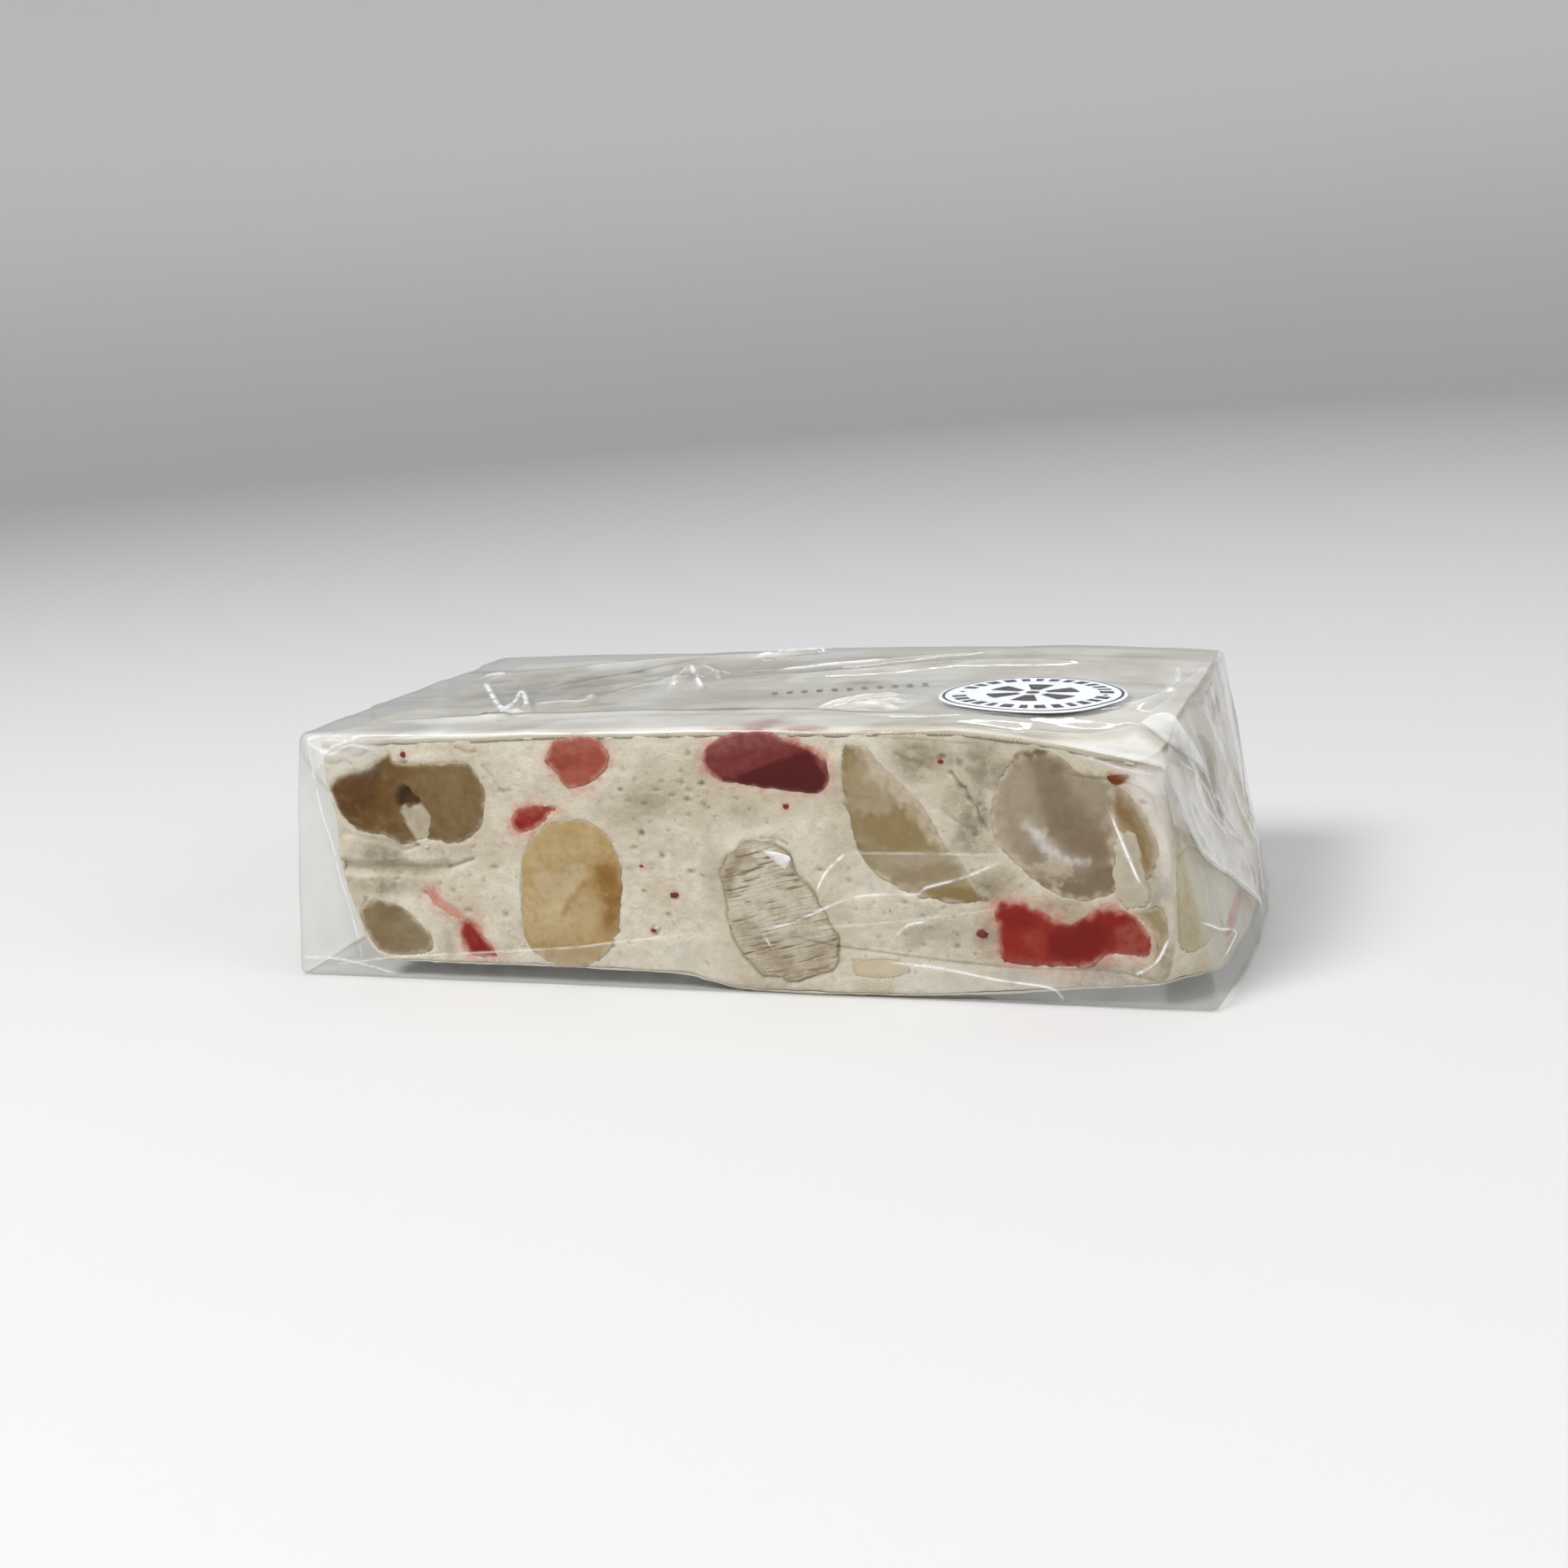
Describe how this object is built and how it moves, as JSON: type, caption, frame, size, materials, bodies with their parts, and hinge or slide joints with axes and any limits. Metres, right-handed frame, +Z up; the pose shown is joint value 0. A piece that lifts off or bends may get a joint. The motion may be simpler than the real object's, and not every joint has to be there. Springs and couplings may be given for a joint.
{
  "type": "nougat bar",
  "caption": "Cut nougat bar with whole nuts and red fruit between wafer sheets, sealed in clear film with a round paper label.",
  "frame": {"origin": "middle of the flat underside of the wrap", "axes": "+X along the bar towards the end by the label, +Y from the front cut side to the back one, +Z up"},
  "size_m": [0.1157, 0.056, 0.032],
  "materials": {
    "clear_film": "gloss",
    "label_paper": "satin",
    "nougat": "matt",
    "wafer_paper": "matt",
    "nut": "satin",
    "fruit": "satin",
    "ink": "matt"
  },
  "bodies": {
    "root": {"film_wrap": "clear_film", "round_label": "label_paper"}
  },
  "joints": []
}
